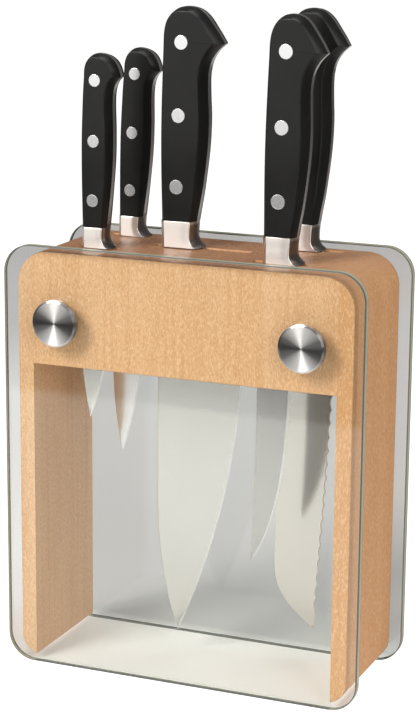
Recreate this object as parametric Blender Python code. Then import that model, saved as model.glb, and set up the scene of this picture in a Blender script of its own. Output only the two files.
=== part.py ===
"""Glass-sided knife block holding five forged knives.

Metres, +Z up, +X to the right, +Y away from the front. The origin is on the surface
that the block stands on, under the middle of its box. Each knife is built in its own
frame: x runs from the blade's spine towards its edge, z is measured from the block's
top, and an empty carries the knife to its slot.
"""
from math import cos, pi, radians, sin, sqrt

import bmesh
import bpy
from mathutils import Matrix, Vector

MM = 0.001
GAP = 0.3 * MM                  # clearance that touching pieces keep

# Glass panels: they carry the block, and are a little larger than the wood all round.
PANEL_WIDTH = 200.0 * MM
PANEL_HEIGHT = 230.0 * MM
PANEL_THICKNESS = 4.8 * MM
PANEL_CORNER_RADIUS = 15.0 * MM
PANEL_HOLE_RADIUS = 3.4 * MM

# Wooden frame: two legs and the slotted top block between them.
WOOD_WIDTH = 186.7 * MM
WOOD_DEPTH = 70.4 * MM
WOOD_TOP = 226.8 * MM
WOOD_CORNER_RADIUS = 17.4 * MM
LEG_THICKNESS = 8.6 * MM
LEG_BOTTOM = 2.4 * MM
FOOT_RADIUS = 11.0 * MM
BLOCK_BOTTOM = 166.1 * MM
SLOT_WIDTH = 5.0 * MM
ROW_Y = {"front": -14.8 * MM, "middle": 6.4 * MM, "rear": 26.4 * MM}

# Clamping knobs, washers and threaded inserts.
KNOB_X = 68.4 * MM
KNOB_Z = 190.6 * MM
KNOB_RADIUS = 12.4 * MM
KNOB_THICKNESS = 4.4 * MM
STUD_RADIUS = 2.5 * MM
STUD_DEPTH = 4.4 * MM           # how far the stud reaches into the wood
WASHER_RADIUS = 7.0 * MM
WASHER_BORE = 2.8 * MM
WASHER_THICKNESS = 0.6 * MM
INSERT_RADIUS = 3.3 * MM
INSERT_BORE = 2.6 * MM
INSERT_LENGTH = 4.9 * MM

# Knives.
TANG_THICKNESS = 3.0 * MM
BOLSTER_INSET = 0.5 * MM        # step from the bolster's outline to the tang's
SCALLOP_LENGTH = 8.4 * MM
SCALLOP_DEPTH = 0.9 * MM

# Handles, in mm from the spine side at the bolster: the outline's spine side and grip
# side as (height, reach), the crown's grip side from the hook's tip to the top, and the
# rivets as (height, reach).
LARGE_HANDLE = {
    "bolster_height": 14.4 * MM, "bolster_thickness": 15.0 * MM, "thickness": 18.0 * MM,
    "top": 125.9 * MM, "crown": 14.2 * MM, "shoulder_power": 2.35,
    "back": ((0.0, 0.3), (14.0, 0.0), (32.0, -0.3), (55.0, -0.5), (72.0, -0.3), (90.0, 0.2),
             (106.0, 0.75)),
    "grip": ((0.0, 19.4), (14.0, 20.1), (31.0, 22.9), (52.0, 25.3), (68.0, 26.0), (81.0, 25.5),
             (91.0, 25.5), (98.0, 27.1), (103.6, 30.7), (107.3, 34.8)),
    "hook": ((107.3, 34.8), (111.3, 32.3), (116.7, 28.3), (123.1, 22.7), (125.3, 18.8),
             (125.9, 14.2)),
    "rivets": ((32.8, 10.5), (70.2, 11.8), (107.9, 13.2)), "rivet_radius": 3.6 * MM,
}
SMALL_HANDLE = {
    "bolster_height": 11.4 * MM, "bolster_thickness": 12.4 * MM, "thickness": 15.0 * MM,
    "top": 101.9 * MM, "crown": 9.7 * MM, "shoulder_power": 2.1,
    "back": ((0.0, 0.2), (11.0, 0.0), (36.0, -0.1), (58.0, 0.1), (75.0, 0.7), (83.0, 1.1),
             (90.0, 1.6)),
    "grip": ((0.0, 13.4), (11.0, 13.8), (18.0, 14.6), (31.0, 16.2), (47.0, 17.4), (62.5, 17.6),
             (76.0, 17.3), (82.5, 17.8), (87.0, 19.4), (90.0, 22.1)),
    "hook": ((90.0, 22.1), (93.9, 21.0), (98.2, 18.4), (100.7, 15.2), (101.6, 12.5),
             (101.9, 9.7)),
    "rivets": ((25.8, 7.9), (57.0, 8.9), (88.4, 9.8)), "rivet_radius": 3.1 * MM,
}

# For each knife, in mm: where its spine stands in its slot, how far its handle is set back
# from the spine, how wide its handle is against the pattern, how it leans (degrees), the
# blade's tip (depth below the block's top, offset from the spine), its heel (the same), how
# its spine and edge curve, and the ends of its slot.
KNIVES = {
    "paring": {"handle": SMALL_HANDLE, "row": "front", "spine_x": -66.7, "set_back": 1.4,
               "width": 1.0, "lean": 0.0, "tip": (92.7, 5.3), "heel": (5.0, 19.4),
               "spine_bend": (45.0, 1.9), "edge_power": (2.35, 1.0), "thickness": 2.0,
               "slot": (-67.9, -46.0)},
    "utility": {"handle": SMALL_HANDLE, "row": "rear", "spine_x": -65.7, "set_back": 2.4,
                "width": 1.0, "lean": 1.1, "tip": (122.1, 6.5), "heel": (6.0, 18.4),
                "spine_bend": (70.0, 1.9), "edge_power": (3.3, 1.0), "thickness": 2.0,
                "slot": (-68.6, -46.4)},
    "chefs": {"handle": LARGE_HANDLE, "row": "middle", "spine_x": -30.9, "set_back": 2.0,
              "width": 1.0, "lean": 0.0, "tip": (213.9, 12.1), "heel": (14.0, 50.4),
              "spine_bend": (140.0, 2.15), "edge_power": (2.35, 1.0), "thickness": 2.8,
              "slot": (-34.1, 20.6)},
    "bread": {"handle": LARGE_HANDLE, "row": "rear", "spine_x": 30.6, "set_back": 1.7,
              "width": 0.96, "lean": 0.2, "tip": (209.1, 23.7), "heel": (9.0, 33.0),
              "spine_bend": (172.0, 2.6), "edge_power": (1.55, 1.0), "thickness": 2.4,
              "slot": (28.6, 65.3)},
    "boning": {"handle": LARGE_HANDLE, "row": "front", "spine_x": 35.1, "set_back": 1.6,
               "width": 0.9, "lean": 0.65, "tip": (160.2, -1.6), "heel": (5.0, 22.8),
               "spine_bend": (108.0, 1.6), "edge_power": (4.0, 0.8), "thickness": 2.4,
               "slot": (30.4, 59.8)},
}
NARROWING = {"boning": (4.5 * MM, 24.0 * MM)}   # how much the edge steps in, over what depth

BLOCK_X = WOOD_WIDTH / 2 - LEG_THICKNESS - GAP
PANEL_INNER_Y = WOOD_DEPTH / 2 + GAP
PANEL_OUTER_Y = PANEL_INNER_Y + PANEL_THICKNESS
WASHER_Y = PANEL_OUTER_Y + GAP
KNOB_Y = WASHER_Y + WASHER_THICKNESS + GAP


# ---------------------------------------------------------------- helpers

def clear_scene():
    for leftover in list(bpy.data.objects):
        bpy.data.objects.remove(leftover, do_unlink=True)


def make_material(name, color, roughness, metallic=0.0, transmission=0.0):
    material = bpy.data.materials.new(name)
    material.use_nodes = True
    shader = material.node_tree.nodes["Principled BSDF"]
    shader.inputs["Base Color"].default_value = (*color, 1.0)
    shader.inputs["Roughness"].default_value = roughness
    shader.inputs["Metallic"].default_value = metallic
    shader.inputs["Transmission Weight"].default_value = transmission
    return material


def add_object(name, bm, material, location=(0.0, 0.0, 0.0), parent=None):
    bmesh.ops.recalc_face_normals(bm, faces=bm.faces)
    mesh = bpy.data.meshes.new(name)
    bm.to_mesh(mesh)
    bm.free()
    mesh.materials.append(material)
    obj = bpy.data.objects.new(name, mesh)
    bpy.context.collection.objects.link(obj)
    obj.location = location
    obj.parent = parent
    return obj


def add_empty(name, location):
    empty = bpy.data.objects.new(name, None)
    bpy.context.collection.objects.link(empty)
    empty.location = location
    return empty


def cut(obj, cutter):
    """Take the cutter's shape out of the object, and keep the cutter as a guide."""
    cutter.hide_render = True
    cutter.display_type = "WIRE"
    modifier = obj.modifiers.new("cut", "BOOLEAN")
    modifier.operation = "DIFFERENCE"
    modifier.object = cutter


def shade_round(obj):
    obj.data.shade_smooth()
    obj.data.set_sharp_from_angle(angle=radians(35))


def extruded(outline, y_low, y_high):
    """A plate with the outline (x, z), from y_low to y_high."""
    bm = bmesh.new()
    near = [bm.verts.new((x, y_low, z)) for x, z in outline]
    far = [bm.verts.new((x, y_high, z)) for x, z in outline]
    bm.faces.new(near)
    bm.faces.new(far[::-1])
    for i in range(len(outline)):
        j = (i + 1) % len(outline)
        bm.faces.new((near[i], far[i], far[j], near[j]))
    return bm


def lofted(rings):
    """A closed skin through rings with the same number of points."""
    bm = bmesh.new()
    rows = [[bm.verts.new(point) for point in ring] for ring in rings]
    for low, high in zip(rows, rows[1:]):
        for i in range(len(low)):
            j = (i + 1) % len(low)
            bm.faces.new((low[i], low[j], high[j], high[i]))
    bm.faces.new(rows[0])
    bm.faces.new(rows[-1][::-1])
    return bm


def turned(profile, segments=24):
    """A closed ring or knob turned about Y from a closed profile of (radius, y)."""
    bm = bmesh.new()
    columns = []
    for k in range(segments):
        angle = 2 * pi * k / segments
        columns.append([bm.verts.new((r * cos(angle), y, r * sin(angle)))
                        if r > 0 else None for r, y in profile])
    poles = [None if r > 0 else bm.verts.new((0.0, y, 0.0)) for r, y in profile]
    for k in range(segments):
        here, there = columns[k], columns[(k + 1) % segments]
        for i in range(len(profile)):
            j = (i + 1) % len(profile)
            corners = [here[i] or poles[i], here[j] or poles[j],
                       there[j] or poles[j], there[i] or poles[i]]
            corners = list(dict.fromkeys(corners))
            if len(corners) > 2:
                bm.faces.new(corners)
    return bm


def cylinders(centres, radius, y_low, y_high, segments=16):
    """Plain cylinders along Y about each centre (x, z), in one mesh."""
    bm = bmesh.new()
    for x, z in centres:
        place = Matrix.Translation(Vector((x, (y_low + y_high) / 2, z)))
        bmesh.ops.create_cone(bm, cap_ends=True, segments=segments, radius1=radius,
                              radius2=radius, depth=y_high - y_low,
                              matrix=place @ Matrix.Rotation(pi / 2, 4, "X"))
    return bm


def arc(centre, radius, start, end, steps):
    """Points (x, z) on an arc from start to end, in degrees."""
    points = []
    for k in range(steps + 1):
        angle = radians(start + (end - start) * k / steps)
        points.append((centre[0] + radius * cos(angle), centre[1] + radius * sin(angle)))
    return points


def along(points, at):
    """A smooth curve through points (position, value), read at one position."""
    count = len(points)
    slopes = []
    for i in range(count):
        before, after = points[max(i - 1, 0)], points[min(i + 1, count - 1)]
        slopes.append((after[1] - before[1]) / (after[0] - before[0]))
    for i in range(count - 1):
        (a, value_a), (b, value_b) = points[i], points[i + 1]
        if at <= b or i == count - 2:
            span = b - a
            t = min(max((at - a) / span, 0.0), 1.0)
            blend = t * t * (3 - 2 * t)
            rise = (t ** 3 - 2 * t * t + t) * slopes[i] + (t ** 3 - t * t) * slopes[i + 1]
            return value_a + (value_b - value_a) * blend + rise * span


# ---------------------------------------------------------------- wooden frame

def wood_top(x):
    """Height of the frame's top at x, with its rounded outer corners."""
    past = abs(x) - (WOOD_WIDTH / 2 - WOOD_CORNER_RADIUS)
    if past <= 0:
        return WOOD_TOP
    return WOOD_TOP - WOOD_CORNER_RADIUS + sqrt(WOOD_CORNER_RADIUS ** 2 - past ** 2)


def make_leg(name, side, material):
    outer, inner = WOOD_WIDTH / 2, WOOD_WIDTH / 2 - LEG_THICKNESS
    foot = (outer - FOOT_RADIUS, LEG_BOTTOM + FOOT_RADIUS)
    crown = (outer - WOOD_CORNER_RADIUS, WOOD_TOP - WOOD_CORNER_RADIUS)
    foot_start = -90 + 90 * 0.14                # where the foot's arc leaves the inner face
    outline = [p for p in arc(foot, FOOT_RADIUS, foot_start, 0, 8) if p[0] > inner]
    outline.insert(0, (inner, foot[1] - sqrt(FOOT_RADIUS ** 2 - (inner - foot[0]) ** 2)))
    outline += [p for p in arc(crown, WOOD_CORNER_RADIUS, 0, 90, 12) if p[0] > inner + GAP]
    outline.append((inner, wood_top(inner)))
    outline = [(side * x, z) for x, z in outline]
    add_object(name, extruded(outline, -WOOD_DEPTH / 2, WOOD_DEPTH / 2), material)


def make_slab(name, x_low, x_high, y_low, y_high, material):
    """A full-height board or spacer of the top block, with the frame's rounded top."""
    corner = WOOD_WIDTH / 2 - WOOD_CORNER_RADIUS
    steps = [corner + (BLOCK_X - corner) * k / 4 for k in range(5)]
    stops = [x for x in [-s for s in steps] + steps if x_low < x < x_high]
    top = [(x, wood_top(x)) for x in sorted(stops + [x_low, x_high], reverse=True)]
    outline = [(x_low, BLOCK_BOTTOM), (x_high, BLOCK_BOTTOM)] + top
    return add_object(name, extruded(outline, y_low, y_high), material)


def make_block(material):
    """Four boards with rows of spacers between them, which leave the knives' slots."""
    front, rear = -WOOD_DEPTH / 2, WOOD_DEPTH / 2
    half = SLOT_WIDTH / 2
    faces = [front]
    for row_y in ROW_Y.values():
        faces += [row_y - half - GAP, row_y + half + GAP]
    faces.append(rear)
    names = ("block_front_board", "block_second_board", "block_third_board", "block_rear_board")
    boards = [make_slab(name, -BLOCK_X, BLOCK_X, faces[2 * i], faces[2 * i + 1], material)
              for i, name in enumerate(names)]
    for row, row_y in ROW_Y.items():
        ends = [-BLOCK_X]
        for knife in KNIVES.values():
            if knife["row"] == row:
                ends += [x * MM for x in knife["slot"]]
        ends.append(BLOCK_X)
        places = ("left", "right") if len(ends) == 4 else ("left", "centre", "right")
        for i, place in enumerate(places):
            make_slab(f"{row}_spacer_{place}", ends[2 * i], ends[2 * i + 1],
                      row_y - half, row_y + half, material)
    return boards


# ---------------------------------------------------------------- glass and clamps

def make_panel(name, facing, material):
    """A glass panel; facing is -1 at the front and +1 at the rear."""
    half, r = PANEL_WIDTH / 2, PANEL_CORNER_RADIUS
    outline = (arc((half - r, r), r, -90, 0, 6)
               + arc((half - r, PANEL_HEIGHT - r), r, 0, 90, 6)
               + arc((r - half, PANEL_HEIGHT - r), r, 90, 180, 6)
               + arc((r - half, r), r, 180, 270, 6))
    y_low, y_high = sorted((facing * PANEL_INNER_Y, facing * PANEL_OUTER_Y))
    panel = add_object(name, extruded(outline, y_low, y_high), material)
    holes = cylinders([(-KNOB_X, KNOB_Z), (KNOB_X, KNOB_Z)], PANEL_HOLE_RADIUS,
                      y_low - MM, y_high + MM, segments=24)
    cut(panel, add_object(f"{name}_holes", holes, material))


def make_clamp(place, x, facing, board, materials):
    """Knob with its stud, washer and threaded insert, all on one axis along Y."""
    def outwards(profile):
        return [(r, facing * y) for r, y in profile]

    washer = outwards([(WASHER_BORE, 0.0), (WASHER_RADIUS, 0.0),
                       (WASHER_RADIUS, WASHER_THICKNESS), (WASHER_BORE, WASHER_THICKNESS)])
    washer = add_object(f"washer_{place}", turned(washer), materials["rubber"],
                        (x, facing * WASHER_Y, KNOB_Z))
    shade_round(washer)

    rim, height = KNOB_RADIUS, KNOB_THICKNESS
    stud_end = WOOD_DEPTH / 2 - STUD_DEPTH - KNOB_Y
    profile = outwards([
        (0.0, stud_end), (STUD_RADIUS - 0.4 * MM, stud_end), (STUD_RADIUS, stud_end + 0.5 * MM),
        (STUD_RADIUS, 0.0), (rim - 0.8 * MM, 0.0), (rim, 0.5 * MM), (rim, 2.3 * MM),
        (rim - 0.5 * MM, 2.5 * MM), (rim - 0.5 * MM, 2.8 * MM), (rim, 3.0 * MM),
        (rim, height - 0.6 * MM), (rim - 0.6 * MM, height), (0.0, height)])
    knob = add_object(f"knob_{place}", turned(profile), materials["steel"],
                      (x, facing * KNOB_Y, KNOB_Z))
    shade_round(knob)

    insert_y = facing * WOOD_DEPTH / 2
    sleeve = outwards([(INSERT_BORE + GAP, 0.0), (INSERT_RADIUS, 0.0),
                       (INSERT_RADIUS, -INSERT_LENGTH), (INSERT_BORE + GAP, -INSERT_LENGTH)])
    insert = add_object(f"insert_{place}", turned(sleeve, 20), materials["brass"],
                        (x, insert_y, KNOB_Z))
    shade_round(insert)

    hole = cylinders([(0.0, 0.0)], INSERT_RADIUS + GAP, -INSERT_LENGTH - GAP,
                     INSERT_LENGTH + GAP, segments=20)
    cut(board, add_object(f"insert_hole_{place}", hole, materials["brass"],
                          (x, insert_y, KNOB_Z)))


# ---------------------------------------------------------------- knives

def handle_sides(knife, height):
    """The handle outline's spine side and grip side at a height above the block."""
    handle = knife["handle"]
    top, crown = handle["top"], handle["crown"]
    back = [(h * MM, reach * MM) for h, reach in handle["back"]]
    shoulder = back[-1][0]
    if height <= shoulder:
        left = along(back, height)
    else:
        power = handle["shoulder_power"]
        fall = min((height - shoulder) / (top - shoulder), 1.0)
        left = crown - (crown - back[-1][1]) * (1 - fall ** power) ** (1 / power)
    hook_height = handle["hook"][0][0] * MM
    if height <= hook_height:
        right = along([(h * MM, reach * MM) for h, reach in handle["grip"]], height)
    else:
        # Read against the root of the distance from the top, where the outline is round.
        crown_side = [(sqrt(max(top - h * MM, 0.0)), reach * MM)
                      for h, reach in reversed(handle["hook"])]
        right = along(crown_side, sqrt(max(top - height, 0.0)))
    set_back, width = knife["set_back"] * MM, knife["width"]
    return set_back + left * width, set_back + right * width


def half_thickness(handle, height):
    """The handle swells from the bolster's thickness to its own."""
    thin, thick = handle["bolster_thickness"] / 2, handle["thickness"] / 2
    rise = min(max((height - handle["bolster_height"]) / (50 * MM), 0.0), 1.0)
    return thin + (thick - thin) * sin(pi / 2 * rise)


def section(z, stations):
    """A closed ring at z from stations (x, half thickness) across the knife."""
    near = [(x, -half, z) for x, half in stations]
    far = [(x, half, z) for x, half in reversed(stations)]
    return near + far


def blade_sides(name, knife, depth):
    """The blade outline's spine and edge at a depth below the block's top."""
    length, tip = (value * MM for value in knife["tip"])
    heel_depth, heel = (value * MM for value in knife["heel"])
    bend_depth, bend_power = knife["spine_bend"]
    bend_depth *= MM
    spine = 0.0
    if depth > bend_depth:
        spine = tip * ((depth - bend_depth) / (length - bend_depth)) ** bend_power
    step, step_depth = NARROWING.get(name, (0.0, 1.0))
    power, root = knife["edge_power"]
    if depth < heel_depth:
        grip = (knife["handle"]["grip"][0][1] * knife["width"] + knife["set_back"]) * MM
        flare_top = -8.0 * MM
        flare = (depth - flare_top) / (heel_depth - flare_top)
        return spine, grip + (heel - grip) * flare ** 1.3
    down = (depth - heel_depth) / (length - heel_depth)
    edge = tip + (heel - step - tip) * max(1 - down ** power, 0.0) ** root
    if depth < step_depth:
        edge += step * (1 - (depth - heel_depth) / (step_depth - heel_depth)) ** 2
    if name == "bread" and down < 0.93:
        wave = ((depth - heel_depth) / SCALLOP_LENGTH) % 1.0
        edge -= SCALLOP_DEPTH * sin(pi * wave)
    return spine, edge


def blade_depths(name, knife):
    """Depths of the blade's rings, closer together towards the tip."""
    length, heel_depth = knife["tip"][0] * MM, knife["heel"][0] * MM
    depths = [0.6 * MM, heel_depth * 0.5, heel_depth]
    if name == "bread":
        count = int(0.93 * (length - heel_depth) / SCALLOP_LENGTH * 3)
        depths += [heel_depth + SCALLOP_LENGTH * k / 3 for k in range(1, count + 1)]
        start = depths[-1]
        depths += [start + (length - start) * k / 6 for k in range(1, 6)]
    else:
        steps = 16
        depths += [heel_depth + (length - heel_depth) * sin(pi / 2 * k / steps) ** 1.15
                   for k in range(1, steps)]
    depths.append(length - 0.4 * MM)
    return depths


def forged_rings(name, knife):
    """Rings of the one-piece forging, from the blade's tip up to the tang's end."""
    handle = knife["handle"]
    length = knife["tip"][0] * MM
    half_spine = knife["thickness"] * MM / 2
    rings = []
    for depth in reversed(blade_depths(name, knife)):
        spine, edge = blade_sides(name, knife, depth)
        half = half_spine * (1 - 0.55 * depth / length)
        width = edge - spine
        rings.append(section(-depth, ((spine, half), (spine + 0.2 * width, half),
                                      (edge - 0.1 * width, 0.4 * half), (edge, 0.1 * MM))))
    # The bolster: it stands on the block, and flares towards the heel at its foot.
    thick = handle["bolster_thickness"] / 2
    left, right = handle_sides(knife, 0.0)
    foot = blade_sides(name, knife, -GAP)[1]
    rings.append(section(GAP, ((left + BOLSTER_INSET, half_spine),
                               (left + 2 * BOLSTER_INSET, half_spine),
                               (right - BOLSTER_INSET, half_spine),
                               (foot - BOLSTER_INSET, 0.5 * half_spine))))
    for height in (GAP, 2.5 * MM, 5.0 * MM, 8.0 * MM, handle["bolster_height"]):
        left, right = handle_sides(knife, height)
        flare = blade_sides(name, knife, -height)[1] if height < 8.0 * MM else right
        if flare > right + 0.2 * MM:
            stations = ((left, thick - 3.0 * MM), (left + 1.8 * MM, thick),
                        (right - 3.5 * MM, thick - 0.5 * MM), (flare, 1.0 * MM))
        else:
            stations = ((left, thick - 3.0 * MM), (left + 1.8 * MM, thick),
                        (right - 3.0 * MM, thick), (right, thick - 4.0 * MM))
        rings.append(section(height, stations))
    # The full tang: it runs to the handle's end.
    half_tang = TANG_THICKNESS / 2
    for height in tang_heights(handle):
        left, right = handle_sides(knife, height)
        left, right = left + BOLSTER_INSET / 2, right - BOLSTER_INSET / 2
        inner = (right - left) / 3
        rings.append(section(height, ((left, half_tang), (left + inner, half_tang),
                                      (right - inner, half_tang), (right, half_tang))))
    return rings


def tang_heights(handle):
    """Heights of the handle's rings, closer together at the hook and the end."""
    low, hook, top = handle["bolster_height"], handle["hook"][0][0] * MM, handle["top"]
    heights = [low + (hook - low) * t for t in (0.0, 0.2, 0.4, 0.6, 0.78, 0.9, 0.96, 1.0)]
    heights += [hook + (top - hook) * sin(pi / 2 * k / 7) for k in range(1, 7)]
    heights.append(top - 0.15 * MM)
    return heights


def scale_rings(knife, facing):
    """Rings of one handle scale; facing is -1 on the near side and +1 on the far side."""
    handle = knife["handle"]
    inner = TANG_THICKNESS / 2 + GAP
    top = handle["top"]
    rings = []
    heights = tang_heights(handle)
    heights[0] += GAP
    for height in heights:
        left, right = handle_sides(knife, height)
        outer = half_thickness(handle, height)
        middle = (inner + outer) / 2
        rounding = max(1 - (max(height - top + 5.0 * MM, 0.0) / (5.0 * MM)) ** 2, 0.0)
        crown = middle + (outer - middle) * sqrt(rounding)
        left_bevel = min(2.0 * MM, 0.3 * (right - left))
        right_bevel = min(3.8 * MM, 0.35 * (right - left))
        points = [(left, inner), (right, inner), (right - 0.2 * right_bevel, middle),
                  (right - right_bevel, crown + 0.01 * MM),
                  (left + left_bevel, crown + 0.01 * MM), (left + 0.3 * left_bevel, middle)]
        rings.append([(x, facing * y, height) for x, y in points])
    return rings


def make_knife(name, knife, materials):
    handle = knife["handle"]
    carrier = add_empty(f"{name}_carrier",
                        (knife["spine_x"] * MM, ROW_Y[knife["row"]], WOOD_TOP))
    carrier.rotation_euler = (0.0, radians(knife["lean"]), 0.0)
    radius = handle["rivet_radius"]
    centres = [(reach * knife["width"] * MM + knife["set_back"] * MM, height * MM)
               for height, reach in handle["rivets"]]
    half = handle["thickness"] / 2
    cutter = add_object(f"{name}_rivet_holes",
                        cylinders(centres, radius + GAP, -half - MM, half + MM),
                        materials["steel"], parent=carrier)
    forged = add_object(f"{name}_blade", lofted(forged_rings(name, knife)),
                        materials["blade"], parent=carrier)
    cut(forged, cutter)
    for side, facing in (("front", -1), ("rear", 1)):
        scale = add_object(f"{name}_{side}_scale", lofted(scale_rings(knife, facing)),
                           materials["black"], parent=carrier)
        cut(scale, cutter)
    for order, centre in zip(("lower", "middle", "upper"), centres):
        flush = half_thickness(handle, centre[1])
        rivet = add_object(f"{name}_{order}_rivet",
                           cylinders([(0.0, 0.0)], radius, -flush, flush),
                           materials["steel"], (centre[0], 0.0, centre[1]), carrier)
        shade_round(rivet)


# ---------------------------------------------------------------- assembly

def main():
    clear_scene()
    wood = make_material("beech", (0.76, 0.47, 0.22), 0.45)
    glass = make_material("clear_glass", (0.86, 0.93, 0.90), 0.02, transmission=1.0)
    materials = {
        "steel": make_material("turned_steel", (0.62, 0.61, 0.59), 0.25, 1.0),
        "blade": make_material("satin_blade_steel", (0.72, 0.72, 0.70), 0.28, 1.0),
        "black": make_material("black_handle", (0.018, 0.018, 0.018), 0.30),
        "rubber": make_material("washer_rubber", (0.03, 0.03, 0.03), 0.60),
        "brass": make_material("brass", (0.75, 0.55, 0.25), 0.35, 1.0),
    }
    make_leg("left_leg", -1, wood)
    make_leg("right_leg", 1, wood)
    boards = make_block(wood)
    for name, facing, board in (("front", -1, boards[0]), ("rear", 1, boards[-1])):
        make_panel(f"{name}_glass_panel", facing, glass)
        make_clamp(f"{name}_left", -KNOB_X, facing, board, materials)
        make_clamp(f"{name}_right", KNOB_X, facing, board, materials)
    for name, knife in KNIVES.items():
        make_knife(name, knife, materials)


main()
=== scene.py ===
"""Looks of the glass-sided knife block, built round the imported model.

Metres, +Z up, +X to the right, +Y away from the front. Each knife is built in its own
frame: x runs from the blade's spine towards its edge, and z is measured from the block's
top. A matrix places it in its slot, and leans it there.
"""
from math import atan, copysign, cos, hypot, pi, radians, sin, sqrt

import bmesh
import bpy
from mathutils import Matrix, Vector


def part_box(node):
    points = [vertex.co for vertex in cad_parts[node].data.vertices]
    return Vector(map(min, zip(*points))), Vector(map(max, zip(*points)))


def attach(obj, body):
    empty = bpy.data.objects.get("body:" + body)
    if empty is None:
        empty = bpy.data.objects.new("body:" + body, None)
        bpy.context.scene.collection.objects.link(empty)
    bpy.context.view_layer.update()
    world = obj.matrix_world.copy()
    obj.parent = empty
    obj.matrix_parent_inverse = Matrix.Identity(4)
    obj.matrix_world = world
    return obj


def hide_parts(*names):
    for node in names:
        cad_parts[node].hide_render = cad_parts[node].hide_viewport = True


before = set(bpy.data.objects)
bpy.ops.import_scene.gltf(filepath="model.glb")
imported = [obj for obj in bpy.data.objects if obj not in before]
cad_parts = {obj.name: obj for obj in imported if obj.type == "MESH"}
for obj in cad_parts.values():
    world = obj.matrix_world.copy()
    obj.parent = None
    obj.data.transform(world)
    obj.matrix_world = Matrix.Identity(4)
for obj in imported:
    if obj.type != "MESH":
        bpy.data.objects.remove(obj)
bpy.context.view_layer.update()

MM = 0.001


# ---- what the CAD says

def middle(node, axis):
    low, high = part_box(node)
    return (low[axis] + high[axis]) / 2


WOOD_LOW, WOOD_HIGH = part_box("left_leg")[0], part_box("right_leg")[1]
WOOD_WIDTH = WOOD_HIGH[0] - WOOD_LOW[0]
LEG_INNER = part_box("right_leg")[0][0]
LEG_BOTTOM = WOOD_LOW[2]
BLOCK_BOTTOM, WOOD_TOP = (corner[2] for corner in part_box("block_second_board"))
WOOD_FRONT, WOOD_REAR = WOOD_LOW[1], WOOD_HIGH[1]
ROW_Y = {row: middle(f"{row}_spacer_left", 1) for row in ("front", "middle", "rear")}
SLOT_HALF = (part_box("front_spacer_left")[1][1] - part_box("front_spacer_left")[0][1]) / 2
# Sizes that boxes don't say.
WOOD_CORNER_RADIUS = 17.4 * MM
LEG_FOOT_RADIUS = 11.0 * MM
LEG_FOOT_START = -76            # degrees, where the foot's arc meets the sole
WOOD_EDGE_ROUND = 0.8 * MM
SLOT_CORNER_RADIUS = 1.2 * MM
INSERT_HOLE_RADIUS = 3.6 * MM
PANEL_CORNER_RADIUS = 15.0 * MM
PANEL_HOLE_RADIUS = 3.4 * MM
PANEL_ARRIS = 0.5 * MM
# Edges sharper than these angles, in degrees, stay sharp under smooth shading.
WOOD_SHARP, GLASS_SHARP, KNOB_SHARP, RIVET_SHARP = 35, 12, 18, 10
SCALE_SHARP, BLADE_SHARP, BOLSTER_SHARP, TANG_SHARP = 45, 7, 45, 40


# ---- mesh helpers

def crease(bm, angle):
    """Shade smooth, except across edges sharper than the angle."""
    bm.normal_update()
    for face in bm.faces:
        face.smooth = True
    for edge in bm.edges:
        edge.smooth = len(edge.link_faces) == 2 and edge.calc_face_angle() < radians(angle)


def add_object(name, bm, material):
    mesh = bpy.data.meshes.new(name)
    bm.to_mesh(mesh)
    bm.free()
    mesh.materials.append(material)
    obj = bpy.data.objects.new(name, mesh)
    bpy.context.collection.objects.link(obj)
    return obj


def settle(obj):
    """Apply the object's modifiers, so that its mesh is final."""
    bpy.context.view_layer.update()
    depsgraph = bpy.context.evaluated_depsgraph_get()
    mesh = bpy.data.meshes.new_from_object(obj.evaluated_get(depsgraph))
    obj.modifiers.clear()
    obj.data = mesh


def finish_mesh(obj, angle=None):
    """Keep flat faces flat under smooth shading, by weighting normals by face area."""
    if angle is not None:
        obj.data.shade_smooth()
        obj.data.set_sharp_from_angle(angle=radians(angle))
    modifier = obj.modifiers.new("normals", "WEIGHTED_NORMAL")
    modifier.keep_sharp = True
    modifier.weight = 100
    settle(obj)


def soften(bm, width, segments, chosen):
    """Round the edges sharper than 50 degrees for which chosen(edge) holds."""
    bm.normal_update()
    edges = [e for e in bm.edges if e.calc_face_angle(0) > radians(50) and chosen(e)]
    bmesh.ops.bevel(bm, geom=edges, offset=width, segments=segments, profile=0.5,
                    affect="EDGES", clamp_overlap=True)


def cut(obj, cutters, sharp_angle):
    """Take the cutters away from the object, and finish its mesh."""
    for cutter in cutters:
        modifier = obj.modifiers.new("cut", "BOOLEAN")
        modifier.operation = "DIFFERENCE"
        modifier.solver = "EXACT"
        modifier.object = cutter
    settle(obj)
    finish_mesh(obj, sharp_angle)
    for cutter in cutters:
        bpy.data.objects.remove(cutter, do_unlink=True)


def extruded(outline, y_low, y_high):
    """A plate from an outline of (x, z)."""
    bm = bmesh.new()
    near = [bm.verts.new((x, y_low, z)) for x, z in outline]
    far = [bm.verts.new((x, y_high, z)) for x, z in outline]
    bm.faces.new(near)
    bm.faces.new(far[::-1])
    for i in range(len(outline)):
        j = (i + 1) % len(outline)
        bm.faces.new((near[i], far[i], far[j], near[j]))
    bmesh.ops.recalc_face_normals(bm, faces=bm.faces)
    return bm


def lofted(rings, close_ends=True):
    """A skin over closed rings of (x, y, z), which all have as many points."""
    bm = bmesh.new()
    rows = [[bm.verts.new(point) for point in ring] for ring in rings]
    for low, high in zip(rows, rows[1:]):
        for i in range(len(low)):
            j = (i + 1) % len(low)
            bm.faces.new((low[i], low[j], high[j], high[i]))
    if close_ends:
        bm.faces.new(rows[0])
        bm.faces.new(rows[-1][::-1])
    bmesh.ops.recalc_face_normals(bm, faces=bm.faces)
    return bm


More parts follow.
